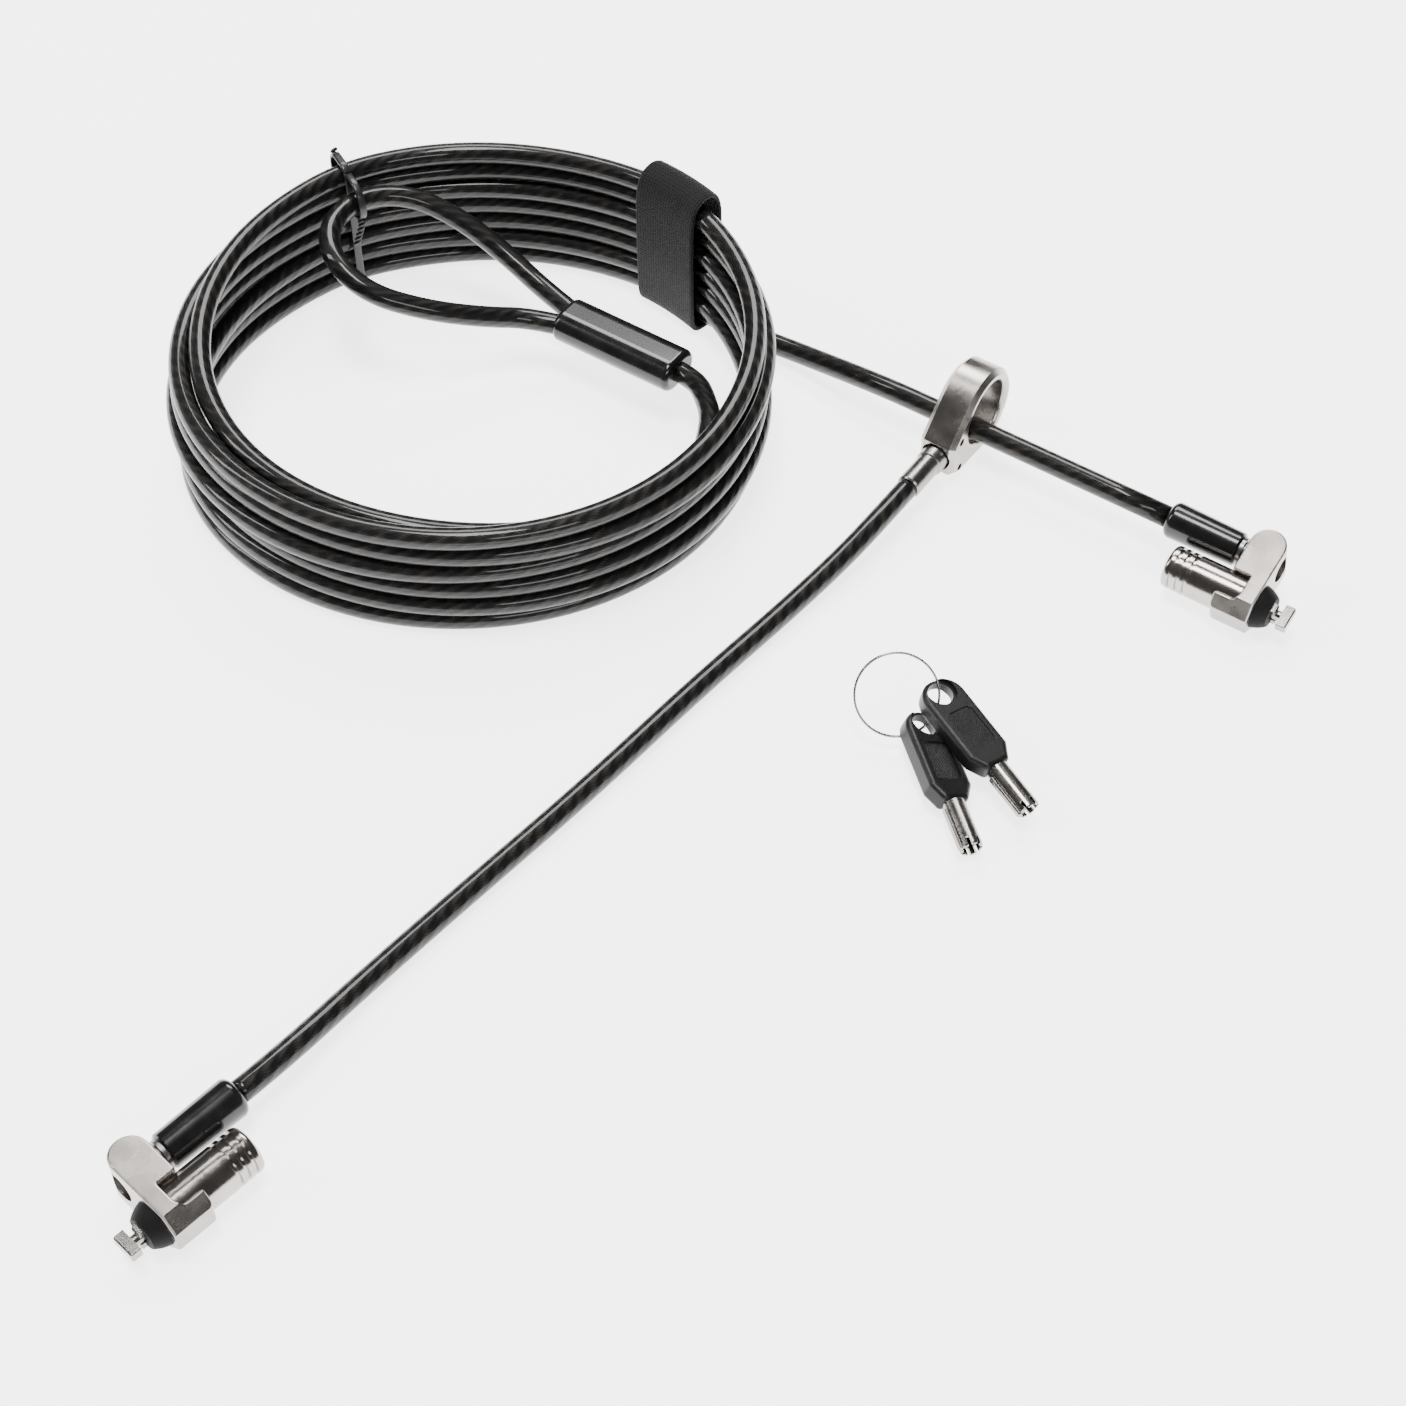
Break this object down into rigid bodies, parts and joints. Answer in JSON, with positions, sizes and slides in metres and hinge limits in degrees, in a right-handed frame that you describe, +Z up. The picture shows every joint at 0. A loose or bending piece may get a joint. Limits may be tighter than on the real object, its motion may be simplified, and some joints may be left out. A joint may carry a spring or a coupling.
{
  "type": "laptop cable lock",
  "caption": "Laptop cable lock: coiled sheathed steel cable with a wrapped end loop, sliding cable trap, second cable, keyed swivel lock heads and tubular keys on a ring.",
  "frame": {"origin": "under the middle of the box round the solid pieces (heads, trap, sleeve, strap, tie, keys), on the surface the lock lies on", "axes": "+Z up from the surface; +Y away from the user, from the lower lock head towards the coil; +X to the user's right"},
  "size_m": [0.2663, 0.3002, 0.0421],
  "materials": {
    "nickel_casting": "satin nickel-plated die casting",
    "polished_barrel": "polished, turned",
    "rubber_nose": "matte",
    "steel_pins": "bright",
    "brass_lockwork": "machined",
    "spring_steel": "drawn wire",
    "steel_ferrule": "brushed, turned",
    "moulded_boot": "glossy moulding",
    "crimp_metal": "pressed",
    "cable_sheath": "clear glossy sheath over dark steel rope",
    "woven_strap": "fine woven band",
    "tie_wire": "plastic-covered wire",
    "ring_steel": "bright wire",
    "key_plastic": "fine pebbled moulding",
    "key_steel": "bright drawn tube"
  },
  "bodies": {
    "main_cable": {"main_cable_coil": "cable_sheath", "main_cable_run": "cable_sheath", "main_cable_tail": "cable_sheath", "loop_cable": "cable_sheath", "loop_sleeve": "moulded_boot", "loop_crimp": "crimp_metal", "cable_strap": "woven_strap", "cable_tie": "tie_wire", "head_a_ferrule": "steel_ferrule", "head_a_boot": "moulded_boot"},
    "head_a_collar": {"head_a_collar": "nickel_casting"},
    "head_a_barrel": {"head_a_barrel": "polished_barrel", "head_a_nose": "rubber_nose", "head_a_pin_plate": "steel_pins", "head_a_retaining_pin": "steel_pins"},
    "head_a_key_plug": {"head_a_plug": "brass_lockwork", "head_a_spindle": "steel_pins", "head_a_tumblers": "brass_lockwork", "head_a_tumbler_springs": "spring_steel"},
    "trap": {"trap_body": "nickel_casting", "trap_roll_pins": "steel_pins"},
    "second_cable": {"second_cable": "cable_sheath", "trap_swivel": "steel_ferrule", "head_b_ferrule": "steel_ferrule", "head_b_boot": "moulded_boot"},
    "head_b_collar": {"head_b_collar": "nickel_casting"},
    "head_b_barrel": {"head_b_barrel": "polished_barrel", "head_b_nose": "rubber_nose", "head_b_pin_plate": "steel_pins", "head_b_retaining_pin": "steel_pins"},
    "head_b_key_plug": {"head_b_plug": "brass_lockwork", "head_b_spindle": "steel_pins", "head_b_tumblers": "brass_lockwork", "head_b_tumbler_springs": "spring_steel"},
    "key_ring": {"key_ring": "ring_steel"},
    "key_1": {"key_1_bow": "key_plastic", "key_1_tube": "key_steel"},
    "key_2": {"key_2_bow": "key_plastic", "key_2_tube": "key_steel"}
  },
  "joints": [
    {"name": "head_a_swivel", "type": "hinge", "parent": "main_cable", "child": "head_a_collar", "pos_m": [0.12295, 0.0277, 0.01], "axis": [0.8231, -0.5678, 0], "continuous": true},
    {"name": "head_a_pivot", "type": "hinge", "parent": "head_a_collar", "child": "head_a_barrel", "pos_m": [0.11698, 0.01904, 0.00678], "axis": [0.8231, -0.5678, 0], "continuous": true},
    {"name": "head_a_key_turn", "type": "hinge", "parent": "head_a_barrel", "child": "head_a_key_plug", "pos_m": [0.11698, 0.01904, 0.00678], "axis": [0.8231, -0.5678, 0], "range_deg": [0, 90]},
    {"name": "head_b_swivel", "type": "hinge", "parent": "second_cable", "child": "head_b_collar", "pos_m": [-0.12305, -0.1312, 0.006], "axis": [-0.6921, -0.7218, 0], "continuous": true},
    {"name": "head_b_pivot", "type": "hinge", "parent": "head_b_collar", "child": "head_b_barrel", "pos_m": [-0.11511, -0.13881, 0.006], "axis": [-0.6921, -0.7218, 0], "continuous": true},
    {"name": "head_b_key_turn", "type": "hinge", "parent": "head_b_barrel", "child": "head_b_key_plug", "pos_m": [-0.11511, -0.13881, 0.006], "axis": [-0.6921, -0.7218, 0], "range_deg": [0, 90]},
    {"name": "trap_slide", "type": "slide", "parent": "main_cable", "child": "trap", "axis": [0.8231, -0.5678, 0], "range_m": [-0.012, 0.02]},
    {"name": "second_cable_swivel", "type": "hinge", "parent": "trap", "child": "second_cable", "pos_m": [0.04721, 0.07021, 0.007], "axis": [-0.5678, -0.8231, 0], "continuous": true},
    {"name": "key_ring_lift", "type": "slide", "parent": "main_cable", "child": "key_ring", "axis": [0, 0, 1], "range_m": [0, 0.1]},
    {"name": "key_1_swing", "type": "hinge", "parent": "key_ring", "child": "key_1", "pos_m": [0.04154, -0.01112, 0.01032], "axis": [0.1792, -0.0798, 0.9806], "range_deg": [-4, 40]},
    {"name": "key_2_swing", "type": "hinge", "parent": "key_ring", "child": "key_2", "pos_m": [0.03781, -0.01563, 0.00495], "axis": [0.3745, 0.0525, 0.9257], "range_deg": [-50, 0]}
  ]
}
